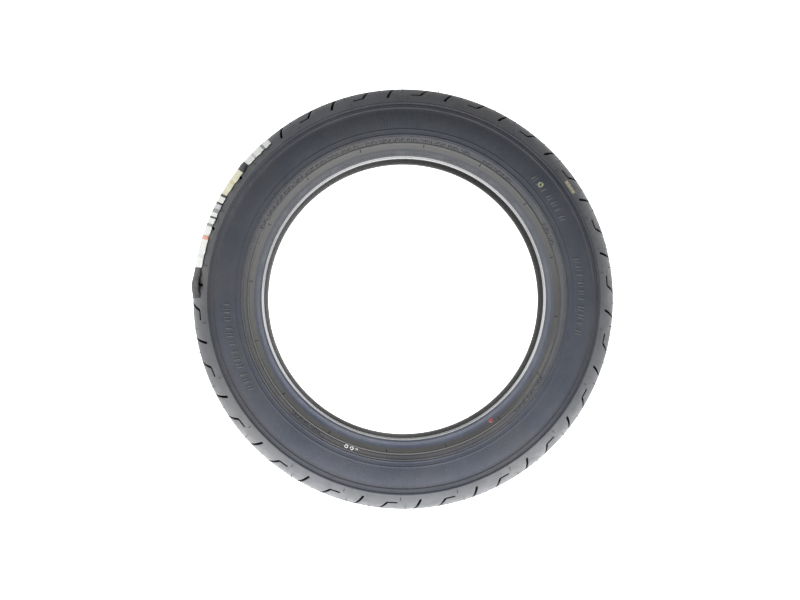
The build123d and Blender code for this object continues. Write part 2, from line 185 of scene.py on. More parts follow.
# ---------------------------------------------------------------- materials
class Nodes:
    """A short way to write a material's nodes."""

    def __init__(self, name):
        self.material = bpy.data.materials.new(name)
        self.material.use_nodes = True
        self.tree = self.material.node_tree
        self.shader = self.tree.nodes["Principled BSDF"]
        self.place = self.add("ShaderNodeTexCoord").outputs["Object"]

    def add(self, kind, **settings):
        node = self.tree.nodes.new(kind)
        for key, value in settings.items():
            setattr(node, key, value)
        return node

    def put(self, value, socket):
        if isinstance(value, bpy.types.NodeSocket):
            self.tree.links.new(value, socket)
        else:
            socket.default_value = value

    def source(self, name):
        """What feeds this input of the shader at present."""
        return self.shader.inputs[name].links[0].from_socket

    def math(self, operation, a, b=0.0):
        node = self.add("ShaderNodeMath", operation=operation)
        self.put(a, node.inputs[0])
        self.put(b, node.inputs[1])
        return node.outputs[0]

    def times(self, a, b):
        return self.math("MULTIPLY", a, b)

    def noise(self, scale, detail=4.0, rough=0.55):
        node = self.add("ShaderNodeTexNoise")
        self.put(self.place, node.inputs["Vector"])
        node.inputs["Scale"].default_value = scale
        node.inputs["Detail"].default_value = detail
        node.inputs["Roughness"].default_value = rough
        return node.outputs["Fac"]

    def ramp(self, value, stops, constant=False):
        node = self.add("ShaderNodeValToRGB")
        node.color_ramp.interpolation = "CONSTANT" if constant else "LINEAR"
        while len(node.color_ramp.elements) < len(stops):
            node.color_ramp.elements.new(0.5)
        for element, (at, colour) in zip(node.color_ramp.elements, stops):
            element.position = at
            element.color = (*colour, 1)
        self.put(value, node.inputs["Fac"])
        return node.outputs["Color"]

    def mix(self, part, a, b, mode="MIX"):
        """Colour a where part is 0 and colour b where it is 1."""
        node = self.add("ShaderNodeMix", data_type="RGBA", blend_type=mode)
        self.put(part, node.inputs[0])
        self.put(a, node.inputs[6])
        self.put(b, node.inputs[7])
        return node.outputs[2]

    def spread(self, value, low, high, new_low, new_high):
        """Map low..high to new_low..new_high, and hold the ends."""
        node = self.add("ShaderNodeMapRange")
        self.put(value, node.inputs["Value"])
        ends = {"From Min": low, "From Max": high, "To Min": new_low, "To Max": new_high}
        for name, number in ends.items():
            node.inputs[name].default_value = number
        return node.outputs["Result"]

    def round_the_turn(self, turn, middle, opposite, here):
        """A number that changes smoothly round the axle, from here at middle to opposite half a turn on."""
        swing = self.math("COSINE", self.math("SUBTRACT", turn, middle))
        return self.spread(swing, -1.0, 1.0, opposite, here)

    def mix_numbers(self, part, a, b):
        """Number a where part is 0 and number b where it is 1."""
        node = self.add("ShaderNodeMix", data_type="FLOAT")
        self.put(part, node.inputs[0])
        self.put(a, node.inputs[2])
        self.put(b, node.inputs[3])
        return node.outputs[0]

    def grey_of(self, value):
        """The grey colour with this value in each channel."""
        node = self.add("ShaderNodeCombineColor")
        for channel in ("Red", "Green", "Blue"):
            self.put(value, node.inputs[channel])
        return node.outputs["Color"]

    def polar(self):
        """The turn in radians, from -pi to pi, and the radius and the lateral place in metres."""
        split = self.add("ShaderNodeSeparateXYZ")
        self.put(self.place, split.inputs[0])
        x, y, z = (split.outputs[axis] for axis in "XYZ")
        return self.math("ARCTAN2", x, z), self.length(x, z), y

    def length(self, a, b):
        return self.math("SQRT", self.math("ADD", self.times(a, a), self.times(b, b)))

    def bump(self, height, distance, strength=1.0, below=None):
        node = self.add("ShaderNodeBump")
        node.inputs["Strength"].default_value = strength
        node.inputs["Distance"].default_value = distance
        self.put(height, node.inputs["Height"])
        if below is not None:
            self.put(below, node.inputs["Normal"])
        return node.outputs["Normal"]


def grey(value):
    return (value, value, value)


def rubber(name, dark, light, rough_low, rough_high, grain=0.12 * MM, specular=0.5):
    """Moulded rubber: fine grain, cloudy bloom and a roughness that changes with it."""
    n = Nodes(name)
    cloud = n.noise(14, 5, 0.6)
    fine = n.noise(1500, 2, 0.6)
    colour = n.mix(n.spread(cloud, 0.35, 0.68, 0.0, 1.0), (*dark, 1), (*light, 1))
    brown = (1.14 * light[0], 1.05 * light[1], 0.90 * light[2], 1)
    blooming = n.spread(n.noise(8, 6, 0.65), 0.46, 0.70, 0.0, 0.75)
    colour = n.mix(blooming, colour, brown)
    specks = n.spread(n.noise(420, 3, 0.7), 0.62, 0.75, 0.0, 0.35)
    n.put(n.mix(specks, colour, (0.16, 0.155, 0.15, 1)), n.shader.inputs["Base Color"])
    n.put(n.spread(n.noise(60, 4, 0.6), 0.3, 0.7, rough_low, rough_high), n.shader.inputs["Roughness"])
    n.shader.inputs["Specular IOR Level"].default_value = specular
    n.put(n.bump(fine, grain, 0.5), n.shader.inputs["Normal"])
    return n


def tread_rubber_material():
    """Tread rubber: a dusty surface, with painted shade that makes it near black inside the grooves."""
    n = rubber("tread_rubber", (0.026, 0.028, 0.033), (0.044, 0.047, 0.054), 0.46, 0.62, 0.2 * MM)
    _, radius, lateral = n.polar()
    reach = n.length(n.math("SUBTRACT", radius, tread_centre), lateral)
    # painted shade: deeper than 0.3 mm below the tread's surface, in the grooves, the rubber is painted
    # near black and its reflection is turned almost off
    inside = n.spread(n.math("SUBTRACT", tread_arc, reach), 0.3 * MM, 1.4 * MM, 0.0, 1.0)
    n.put(n.mix(inside, n.source("Base Color"), (0.004, 0.004, 0.005, 1)), n.shader.inputs["Base Color"])
    n.put(n.spread(inside, 0.0, 1.0, 0.5, 0.03), n.shader.inputs["Specular IOR Level"])
    return n.material


HATCH_RIBS = 440  # fine radial ribs in a full turn
HATCH_RADII = (255.0 * MM, 285.0 * MM)


def sidewall_rubber():
    """Sidewall rubber: moulded radial hatching in a band, tones that change from ring to ring, and painted
    light and shade round the turn: the flank darker at the top of the tyre and lighter at the bottom, the
    band by the tread the other way round.
    """
    n = rubber("sidewall_rubber", (0.023, 0.026, 0.036), (0.034, 0.036, 0.046), 0.46, 0.60, specular=0.40)
    n.shader.inputs["Specular Tint"].default_value = (0.84, 0.90, 1.0, 1)
    turn, radius, _ = n.polar()
    zone = n.spread(radius, 225.0 * MM, 295.0 * MM, 0.0, 1.0)
    tint = n.ramp(zone, [
        (0.0, grey(0.72)), (0.17, (1.10, 1.00, 0.80)), (0.29, (1.05, 0.96, 0.78)),
        (0.32, grey(0.48)), (0.60, grey(0.42)), (0.78, grey(0.47)),
        (0.88, (0.56, 0.50, 0.46)), (0.98, (0.50, 0.46, 0.44)), (1.0, grey(0.50)),
    ])
    toned = n.mix(1.0, n.source("Base Color"), n.mix(1.0, tint, (2, 2, 2, 1), "MULTIPLY"), "MULTIPLY")
    above_line = n.spread(radius, RIM_LINE[1], RIM_LINE[1] + 1.0 * MM, 0.0, 1.0)
    by_tread = n.spread(radius, 281.0 * MM, 287.0 * MM, 0.0, 1.0)
    # painted light and shade: each ring's colour is scaled by a number that runs smoothly from the top of
    # the tyre to the bottom
    by_rim = n.round_the_turn(turn, 0.0, 0.95, 0.66)
    on_flank = n.round_the_turn(turn, 0.0, 1.32, 0.36)
    painted_light_and_shade = n.mix_numbers(above_line, by_rim, on_flank)
    painted_light_and_shade = n.mix_numbers(by_tread, painted_light_and_shade, n.round_the_turn(turn, 0.0, 0.56, 0.78))
    n.put(n.mix(1.0, toned, n.grey_of(painted_light_and_shade), "MULTIPLY"), n.shader.inputs["Base Color"])
    wander = n.times(n.noise(60, 3), 16.0)
    rib = n.math("SINE", n.math("ADD", n.times(turn, HATCH_RIBS), wander))
    upright = n.math("ABSOLUTE", n.math("COSINE", turn))
    patches = n.spread(n.noise(40), 0.38, 0.62, 0.05, 1.0)
    shown = n.times(n.spread(upright, 0.80, 0.97, 0.12, 1.0), patches)
    low, high = HATCH_RADII
    inner_edge = n.spread(radius, low, low + 1.2 * MM, 0.0, 1.0)
    outer_edge = n.spread(radius, high - 1.2 * MM, high, 1.0, 0.0)
    hatch = n.times(n.times(rib, shown), n.times(inner_edge, outer_edge))
    n.put(n.bump(hatch, 0.10 * MM, 1.0, n.source("Normal")), n.shader.inputs["Normal"])
    return n.material


SEAT_GLOSS_END = seat_radius + 0.1 * MM
FINE_RINGS = 9000.0  # radians of the turning marks for a metre of radius
TOE_LATERAL = (29.9 * MM, 30.5 * MM)  # where the seat's gloss fades on the way to the toe
INNER_FACE = (30.8 * MM, 31.6 * MM)  # nearer the centre plane than this is the inner face, which carries painted light
OUTER_BAND = (227.0 * MM, 228.2 * MM)  # from here outwards the rubber is a warmer grey, with painted light that changes round the turn


def cushion_rubber():
    """Harder, smoother rubber round the bead, with a faint pattern of turning rings, and painted light and
    shade that changes round the turn.
    """
    n = rubber("cushion_rubber", (0.024, 0.029, 0.044), (0.035, 0.041, 0.058), 0.30, 0.42, 0.08 * MM, 0.6)
    turn, radius, lateral = n.polar()
    off_centre = n.math("ABSOLUTE", lateral)
    rings = n.math("SINE", n.times(radius, FINE_RINGS))
    n.put(n.bump(rings, 0.02 * MM, 0.4, n.source("Normal")), n.shader.inputs["Normal"])
    above = n.spread(radius, SEAT_GLOSS_END, SEAT_GLOSS_END + 0.7 * MM, 0.0, 1.0)
    off_seat = n.math("MAXIMUM", above, n.spread(off_centre, *TOE_LATERAL, 1.0, 0.0))
    n.put(n.mix_numbers(off_seat, 0.10, n.source("Roughness")), n.shader.inputs["Roughness"])
    n.put(n.mix_numbers(off_seat, 2.3, 1.5), n.shader.inputs["IOR"])
    # painted light and shade: the rubber near the bead is darker at the top of the tyre and lighter at the
    # bottom
    painted_light_and_shade = n.grey_of(n.round_the_turn(turn, 0.0, 1.5, 0.42))
    near_bead = n.mix(1.0, n.source("Base Color"), painted_light_and_shade, "MULTIPLY")
    # painted light: the outer band is darkest at a turn of about 69 degrees and lightest half a turn on
    warm = n.grey_of(n.round_the_turn(turn, 1.2, 0.052, 0.028))
    outer_band_painted_light = n.mix(1.0, warm, (1.02, 1.0, 0.98, 1), "MULTIPLY")
    outside = n.mix(n.spread(radius, *OUTER_BAND, 0.0, 1.0), near_bead, outer_band_painted_light)
    # painted light: the inner face is painted much lighter than the rubber, most at a turn of about 214
    # degrees and least at about 34 degrees
    inner_face_painted_light = n.grey_of(n.round_the_turn(turn, 0.6, 0.22, 0.05))
    inner_face = n.spread(off_centre, *INNER_FACE, 1.0, 0.0)
    n.put(n.mix(inner_face, outside, inner_face_painted_light), n.shader.inputs["Base Color"])
    return n.material


def liner_rubber():
    """The lining: shiny rubber with the print of the curing bladder's crossed air channels."""
    n = rubber("liner_rubber", (0.022, 0.022, 0.024), (0.034, 0.034, 0.036), 0.30, 0.46)
    turn, _, lateral = n.polar()
    channels_round, channels_across = 260.0, 1100.0
    swing, reach = n.times(turn, channels_round), n.times(lateral, channels_across)
    one, other = (
        n.spread(n.math("SINE", n.math(way, swing, reach)), 0.86, 0.99, 0.0, 1.0)
        for way in ("ADD", "SUBTRACT")
    )
    channels = n.math("MAXIMUM", one, other)
    n.put(n.bump(channels, 0.35 * MM, 0.7, n.source("Normal")), n.shader.inputs["Normal"])
    return n.material


def cord_fabric(name, colour, angle):
    """Rubberised cord: parallel cords at an angle to the centre plane."""
    n = Nodes(name)
    turn, _, lateral = n.polar()
    typical_radius, cord_rate = 0.3, 5200.0
    along = n.times(n.times(turn, typical_radius), math.cos(angle))
    across = n.times(lateral, math.sin(angle))
    cords = n.math("SINE", n.times(n.math("ADD", along, across), cord_rate))
    shade = n.spread(cords, -1.0, 1.0, 0.0, 1.0)
    dark = tuple(0.45 * c for c in colour)
    n.put(n.mix(shade, (*dark, 1), (*colour, 1)), n.shader.inputs["Base Color"])
    n.put(n.spread(n.noise(90), 0.3, 0.7, 0.68, 0.86), n.shader.inputs["Roughness"])
    n.put(n.bump(cords, 0.15 * MM, 0.8), n.shader.inputs["Normal"])
    return n.material


def wire_steel():
    """Bronze-coated bead wire, drawn along its length."""
    n = Nodes("wire_steel")
    streak = n.noise(700, 3)
    n.put(n.mix(streak, (0.42, 0.29, 0.16, 1), (0.62, 0.46, 0.28, 1)), n.shader.inputs["Base Color"])
    n.shader.inputs["Metallic"].default_value = 1.0
    n.put(n.spread(streak, 0.3, 0.7, 0.25, 0.42), n.shader.inputs["Roughness"])
    n.put(n.bump(streak, 0.02 * MM), n.shader.inputs["Normal"])
    return n.material


def paint(name, colour, worn, coverage=0.42):
    """Stamped paint that lets a little rubber show through."""
    n = Nodes(name)
    wear = n.spread(n.noise(900, 4, 0.7), coverage - 0.06, coverage + 0.08, 0.0, 1.0)
    n.put(n.mix(wear, (*worn, 1), (*colour, 1)), n.shader.inputs["Base Color"])
    n.put(n.spread(n.noise(300), 0.3, 0.7, 0.45, 0.7), n.shader.inputs["Roughness"])
    n.put(n.bump(wear, 0.04 * MM, 0.6), n.shader.inputs["Normal"])
    return n.material


tread_rubber = tread_rubber_material()
side_rubber = sidewall_rubber()
mark_rubber = rubber("mark_rubber", (0.020, 0.022, 0.027), (0.031, 0.033, 0.038), 0.40, 0.54).material
dash_shades = (0.012, 0.012, 0.014), (0.022, 0.022, 0.024)
dash_rubber = rubber("dash_rubber", *dash_shades, 0.6, 0.8, specular=0.2).material
tick_shades = (0.006, 0.006, 0.007), (0.010, 0.010, 0.011)
tick_rubber = rubber("tick_rubber", *tick_shades, 0.7, 0.85, specular=0.1).material
bead_rubber = cushion_rubber()
inside_rubber = liner_rubber()

# ---------------------------------------------------------------- tread
PITCHES = 22
PITCH = 2 * math.pi / PITCHES
SIDES = (-1, 1)  # near and far
TILE_START = math.radians(9.5)
FLAT_RADIUS = 318 * MM  # the radius at which a tile is laid out flat
HALF_GROOVE = 2.0 * MM
GROOVE_DEPTH = 6.0 * MM
WEAR_BAR_DEPTH = 4.6 * MM
GROOVE_BEND = 4.0 * MM
GROOVE_STEP = 2.4 * MM
GRID_STEP = 3.2 * MM
KEEP_CLEAR = 1.0 * MM
LIP = 0.35 * MM  # how far the rounded lip reaches outside the groove's edge
WEAR_BAR_PLACE = 0.62  # where along a groove its wear bar is
WEAR_BAR_REACH = 2.2  # half the bar's length, in steps of the groove's path
WEAR_BAR_EVERY = 4  # pitches
CENTRE_RIDGE = 0.12 * MM  # the line that the mould leaves round the crown
# (how far outside the groove's edge, how deep) from the tread's surface down to the groove's floor
GROOVE_SECTION = [
    (LIP, 0.0), (0.10 * MM, 0.06 * MM), (0.0, 0.35 * MM),
    (-0.45 * MM, 5.2 * MM), (-0.62 * MM, 5.8 * MM), (-0.95 * MM, GROOVE_DEPTH),
]
HOOK = [(18.26, 46.5), (21.06, 46.5), (23.86, 13)]  # (turn in degrees, lateral in mm)
BAR = [(11.6, 52), (14.1, 12), (18.5, 11)]


def side_shift(side):
    """The far side's pattern is half a pitch on from the near side's."""
    return 0.5 if side == 1 else 0.0


def flat(turn, lateral):
    """Where a point of the tread lies on the flat tile."""
    return Vector((math.radians(turn) * FLAT_RADIUS, math.asin(lateral * MM / tread_arc) * tread_arc))


def groove_path(points):
    """A groove's centre line on the flat tile, with its bend rounded, in short steps."""
    a, b, c = (flat(*p) for p in points)
    into, out = (b - a).normalized(), (c - b).normalized()
    turn = into.angle_signed(out)
    cut = GROOVE_BEND * math.tan(abs(turn) / 2)
    start, end = b - into * cut, b + out * cut
    first_steps, bend_steps = 8, 6
    path = [a.lerp(start, i / first_steps) for i in range(first_steps)]
    for i in range(bend_steps + 1):
        s = i / bend_steps
        path.append((start * (1 - s) + b * s) * (1 - s) + (b * (1 - s) + end * s) * s)
    steps = max(2, round((c - end).length / GROOVE_STEP))
    return path + [end.lerp(c, i / steps) for i in range(1, steps + 1)]


def groove_loop(path, wider):
    """The groove's outline, wider or narrower than its edge by the same amount all round."""
    count = len(path)
    half = HALF_GROOVE + wider
    left, right = [], []
    for i, p in enumerate(path):
        direction = (path[min(i + 1, count - 1)] - path[max(i - 1, 0)]).normalized()
        if i == 0:
            p = p - direction * wider
        if i == count - 1:
            p = p + direction * wider
        normal = Vector((-direction.y, direction.x))
        left.append(p + normal * half)
        right.append(p - normal * half)
    return left + right[::-1]


def distance_to_path(p, path):
    """How far the point is from a groove's centre line."""
    nearest = 1.0
    for a, b in zip(path, path[1:]):
        along = b - a
        part = max(0.0, min(1.0, (p - a).dot(along) / along.length_squared))
        nearest = min(nearest, (p - a - along * part).length)
    return nearest


def tread_tile():
    """One flat pitch of one side: points, their depths, the depths with wear bars, and faces."""
    points, depths, barred, edges = [], [], [], []
    paths = [groove_path(HOOK), groove_path(BAR)]
    for path in paths:
        count = len(path)
        for wider, depth in GROOVE_SECTION:
            loop = groove_loop(path, wider)
            first = len(points)
            for i, p in enumerate(loop):
                station = i if i < count else 2 * count - 1 - i
                on_bar = abs(station - WEAR_BAR_PLACE * count) < WEAR_BAR_REACH
                points.append(p)
                depths.append(depth)
                barred.append(min(depth, WEAR_BAR_DEPTH) if on_bar else depth)
            edges += [(first + i, first + (i + 1) % len(loop)) for i in range(len(loop))]
    width = PITCH * FLAT_RADIUS
    height = edge_lean * tread_arc
    left = TILE_START * FLAT_RADIUS
    columns = 2 * round(width / GRID_STEP / 2)
    rows = [0.0, 0.35 * MM, 0.7 * MM]
    while rows[-1] + 1.5 * GRID_STEP < height:
        rows.append(rows[-1] + GRID_STEP * 0.9)
    rows += [height - 0.6 * MM, height]
    clear = HALF_GROOVE + LIP + KEEP_CLEAR
    last = len(rows) - 1
    corners = {}
    for i in range(columns + 1):
        for j, y in enumerate(rows):
            p = Vector((left + width * i / columns, y))
            border = i in (0, columns) or j in (0, last)
            if border or min(distance_to_path(p, path) for path in paths) > clear:
                corners[i, j] = len(points)
                points.append(p)
                ridge = -CENTRE_RIDGE if j == 0 else 0.0
                depths.append(ridge)
                barred.append(ridge)
    for i in range(columns):
        edges += [(corners[i, j], corners[i + 1, j]) for j in (0, last)]
    for j in range(last):
        edges += [(corners[i, j], corners[i, j + 1]) for i in (0, columns)]
    found, _, faces, origins, _, _ = delaunay_2d_cdt(points, edges, [], 0, 1e-7)
    source = [ids[0] if ids else 0 for ids in origins]
    return found, [depths[s] for s in source], [barred[s] for s in source], faces


def make_tread():
    """The tread: the tile wrapped round both sides, with a wear bar in every fourth pitch."""
    found, depths, barred, tile_faces = tread_tile()
    verts, faces = [], []
    for side in SIDES:
        for k in range(PITCHES):
            shift = (k + side_shift(side)) * PITCH
            first = len(verts)
            chosen = barred if k % WEAR_BAR_EVERY == 1 else depths
            for p, depth in zip(found, chosen):
                verts.append(tread_point(p.x / FLAT_RADIUS + shift, p.y / tread_arc, depth, side))
            faces += [tuple(first + i for i in face) for face in tile_faces]
    tread = new_piece("tread", verts, faces, tread_rubber, ["tread_cap"], merge=2e-6)


make_tread()

HAIR_PLACES = [(9.6, 22.0), (1.0, 54.5), (16.0, 33.0)]  # (turn in degrees, lateral in mm)
# where the label covers the near side's hairs: turns in degrees, and the lateral distance in mm
HAIRLESS_TURNS, HAIRLESS_LATERAL = (268, 322), 45
HAIR_LENGTHS = (5.5 * MM, 8.5 * MM)
HAIR_ROOT, HAIR_TAPER = 0.58 * MM, 0.15 * MM


def hair(root, normal, bend, length):
    """The points and faces of one bent hair with a closed tip."""
    around, rings = 6, 5
    one = normal.orthogonal().normalized()
    other = normal.cross(one)
    verts, faces = [], []
    for i in range(rings):
        s = i / (rings - 1)
        centre = root + normal * length * s * (1 - 0.25 * s) + bend * length * s * s * 0.6
        thick = HAIR_ROOT - HAIR_TAPER * s
        for a in range(around):
            angle = 2 * math.pi * a / around
            verts.append(centre + (one * math.cos(angle) + other * math.sin(angle)) * thick)
    for i in range(rings - 1):
        for a in range(around):
            b = (a + 1) % around
            low, high = i * around, (i + 1) * around
            faces.append((low + a, low + b, high + b, high + a))
    faces.append(tuple((rings - 1) * around + a for a in range(around)))
    return verts, faces


def make_hairs():
    """Thin rubber hairs from the mould's vents, each bent its own way."""
    verts, faces = [], []
    for side in SIDES:
        for place_turn, lateral in HAIR_PLACES:
            under_label = side == -1 and lateral < HAIRLESS_LATERAL
            for k in range(PITCHES):
                turn = math.radians(place_turn) + (k + side_shift(side)) * PITCH
                if under_label and HAIRLESS_TURNS[0] < math.degrees(turn) % 360 < HAIRLESS_TURNS[1]:
                    continue
                lean = math.asin(lateral * MM / tread_arc)
                root = tread_point(turn, lean, 0.1 * MM, side)
                normal = (tread_point(turn, lean, -MM, side) - root).normalized()
                sway = Vector([random.uniform(-1, 1) for _ in range(3)])
                bend = (sway - normal * sway.dot(normal)) * 0.5
                points, sheets = hair(root, normal, bend, random.uniform(*HAIR_LENGTHS))
                faces += [tuple(len(verts) + i for i in sheet) for sheet in sheets]
                verts += points
    spews = new_piece("vent_hairs", verts, faces, tread_rubber, ["vent_spews"])


make_hairs()

# ---------------------------------------------------------------- sidewalls and beads
RING_SEGMENTS = 1080
RAMP = 0.22 * MM
# raised or sunk rings of the sidewall: (outer radius, inner radius, height), in mm
WALL_RINGS = [
    (295.9, 294.9, 0.7), (294.0, 292.2, -0.45), (288.3, 287.4, 0.40),
    (255.0, 254.6, 0.25), (247.6, 246.8, 0.6), (245.1, 244.1, 0.6),
]
CUSHION_RINGS = [(235.8, 235.0, 0.35)]
ARC_STEP = 2.2 * MM


def in_mm(points):
    """A list of (lateral, radius) points given in mm."""
    return [(lateral * MM, radius * MM) for lateral, radius in points]


def ring_profile(top, bottom, rings):
    """Outline points down a flank with its rings, as (radius, height above the plain surface)."""
    stations = [(top, 0.0)]
    for high, low, height in rings:
        stations += [(high * MM + RAMP, 0.0), (high * MM, height * MM)]
        stations += [(low * MM, height * MM), (low * MM - RAMP, 0.0)]
    stations.append((bottom, 0.0))
    full = []
    for (r0, h0), (r1, h1) in zip(stations, stations[1:]):
        steps = max(1, round((r0 - r1) / ARC_STEP))
        full += [(r0 + (r1 - r0) * i / steps, h0 + (h1 - h0) * i / steps) for i in range(steps)]
    return full + [stations[-1]]


def section_points(stations):
    """Turn (radius, height) stations of the flank into (lateral, radius) points."""
    points = [flank_point(0.0, radius, height, 1) for radius, height in stations]
    return [(p.y, p.z) for p in points]


def wall_block(verts, faces, side, turn, sweep, low, high, height, slant=0.0):
    """Add a raised block to a flank: turn and sweep in degrees, low and high in metres."""
    middle = (low + high) / 2
    span = math.radians(sweep) * middle

    def place(u, v, h):
        around = math.radians(turn) + (u + slant * (v - middle)) / middle
        return flank_point(around, v, h, side)

    add_block(verts, faces, place, (0.0, span), (low, high), height)


def make_sidewall(side, name):
    """A sidewall, with its rings on the outside and a plain hidden back."""
    hidden = in_mm([(48, 238), (52, 252), (55.6, 266), (52.5, 282), (47, 291)])
    outline = section_points(ring_profile(edge_radius, FLANGE_TOP[1], WALL_RINGS)) + hidden
    verts, faces = turned_ring(outline, side, RING_SEGMENTS)
    piece = new_piece(name, verts, faces, side_rubber, [name])


MARK_RADII = (262.6 * MM, 271.9 * MM)
MARK_GROUPS = [(46.75, 7), (77.0, 10), (239.0, 12)]  # (first turn in degrees, number)
MARK_SPACING = 2.6
MARK_PAIR = 1.05  # from a broad bar to the narrow one beside it
BROAD, NARROW = 0.62, 0.45
MARK_SLANT = 0.12


def make_marks(side, name):
    """The generic raised marks: rows of slanted bars, most of them in pairs."""
    verts, faces = [], []
    low, high = MARK_RADII
    for first, count in MARK_GROUPS:
        for k in range(count):
            turn = first + k * MARK_SPACING
            wall_block(verts, faces, side, turn, BROAD, low, high, mark_height, MARK_SLANT)
            if k % 3 != 2:
                beside = turn + MARK_PAIR
                wall_block(verts, faces, side, beside, NARROW, low, high, mark_height, MARK_SLANT)
    piece = new_piece(name, verts, faces, mark_rubber)


# (first turn in degrees, number, inner radius and outer radius in mm)
DASH_ROWS = [
    (296, 66, 238.2, 241.8), (346, 54, 238.2, 241.8), (30, 18, 238.2, 241.6),
    (62, 12, 238.2, 241.6), (120, 22, 238.6, 241.2), (212, 18, 238.6, 241.2),
]
DASH_SPACING, DASH_SWEEP = 0.72, 0.34
DASH_HEIGHT = 0.25 * MM


def make_dashes(side, name):
    """Rows of short raised dashes just inside the rim's line, with a gap after every sixth."""
    verts, faces = [], []
    for first, count, inner, outer in DASH_ROWS:
        middle = (inner + outer) / 2
        lengths = ((inner, outer), (inner, middle), (middle, outer))
        for k in range(count):
            if k % 7 != 6:
                low, high = lengths[k * 5 % 3]
                turn = first + k * DASH_SPACING
                wall_block(verts, faces, side, turn, DASH_SWEEP, low * MM, high * MM, DASH_HEIGHT)
    piece = new_piece(name, verts, faces, dash_rubber)


def make_cushion(side, name):
    """A rim cushion: flange face, heel, seat, toe, inner face and hidden back."""
    outer = section_points(ring_profile(FLANGE_TOP[1], FLANGE_BASE[1], CUSHION_RINGS))
    blend = in_mm([(45.6, 223.4), (45.25, 221.8)])
    heel_steps, seat_steps = 12, 4
    heel_middle = HEEL_LATERAL - HEEL_ROUND
    heel = []
    for i in range(heel_steps + 1):
        angle = math.radians(-90 * i / heel_steps)
        out, up = HEEL_ROUND * math.cos(angle), HEEL_ROUND * math.sin(angle)
        heel.append((heel_middle + out, seat_radius + HEEL_ROUND + up))
    seat = [(heel_middle - SEAT_LENGTH * (i + 1) / seat_steps, seat_radius) for i in range(seat_steps)]
    toe = in_mm([(31.3, 215.1), (29.9, 214.4), (29.4, 214.8), (29.2, 215.8)])
    inside = in_mm([(29.9, 219.7), (30.8, 223.8), (31.6, 229)])
    hidden = in_mm([(33.5, 221), (40, 218.2), (43.9, 221), (48.5, 236.5)])
    outline = outer + blend + heel + seat + toe + inside + hidden
    verts, faces = turned_ring(outline, side, RING_SEGMENTS)
    piece = new_piece(name, verts, faces, bead_rubber, [name])


VENT_TICKS = 16
FIRST_TICK, TICK_SPACING, TICK_SWEEP = 7.3, 22.4, 0.22  # degrees
TICK_RADII = (230.4 * MM, 235.0 * MM)
TICK_HEIGHT = 0.25 * MM


def make_ticks(side, name):
    """The marks that the mould's vents leave round the bead."""
    verts, faces = [], []
    for k in range(VENT_TICKS):
        wall_block(verts, faces, side, FIRST_TICK + k * TICK_SPACING, TICK_SWEEP, *TICK_RADII, TICK_HEIGHT)
    piece = new_piece(name, verts, faces, tick_rubber)


for side, word in zip(SIDES, ("near", "far")):
    make_sidewall(side, "sidewall_" + word)
    make_cushion(side, "rim_cushion_" + word)
    make_marks(side, "raised_marks_" + word)
    make_dashes(side, "moulded_dashes_" + word)
    make_ticks(side, "vent_ticks_" + word)


def make_liner():
    """The lining's inner surface, from bead to bead, as a thin closed skin."""
    crown = (0.0, tread_centre), 55.4 * MM
    flank = (23.65 * MM, 266.03 * MM), 29.3 * MM
    crown_sweep, flank_sweep = math.radians(65), math.radians(80)
    steps = 24

    def on_arc(arc, lean):
        (lateral, radius), reach = arc
        return lateral + reach * math.sin(lean), radius + reach * math.cos(lean)

    half = [on_arc(crown, crown_sweep * i / steps) for i in range(steps + 1)]
    half += [on_arc(flank, crown_sweep + flank_sweep * i / steps) for i in range(1, steps + 1)]
    inner = [(-s, r) for s, r in reversed(half[1:])] + half
    outer = []
    for i, (s, r) in enumerate(inner):
        before, after = inner[max(i - 1, 0)], inner[min(i + 1, len(inner) - 1)]
        ds, dr = after[0] - before[0], after[1] - before[1]
        length = math.hypot(ds, dr)
        outer.append((s - dr / length * MM, r + ds / length * MM))
    verts, faces = turned_ring(inner + outer[::-1], 1, RING_SEGMENTS // 2)
    piece = new_piece("inner_liner", verts, faces, inside_rubber, ["inner_liner"])


make_liner()

# ---------------------------------------------------------------- label, stamps and dots
LABEL_START, LABEL_END = 270.0, 319.4  # turns, in degrees
LABEL_LEAN = math.radians(38)
LABEL_RADIUS = 0.325  # a typical radius of the paper, to keep its print in proportion


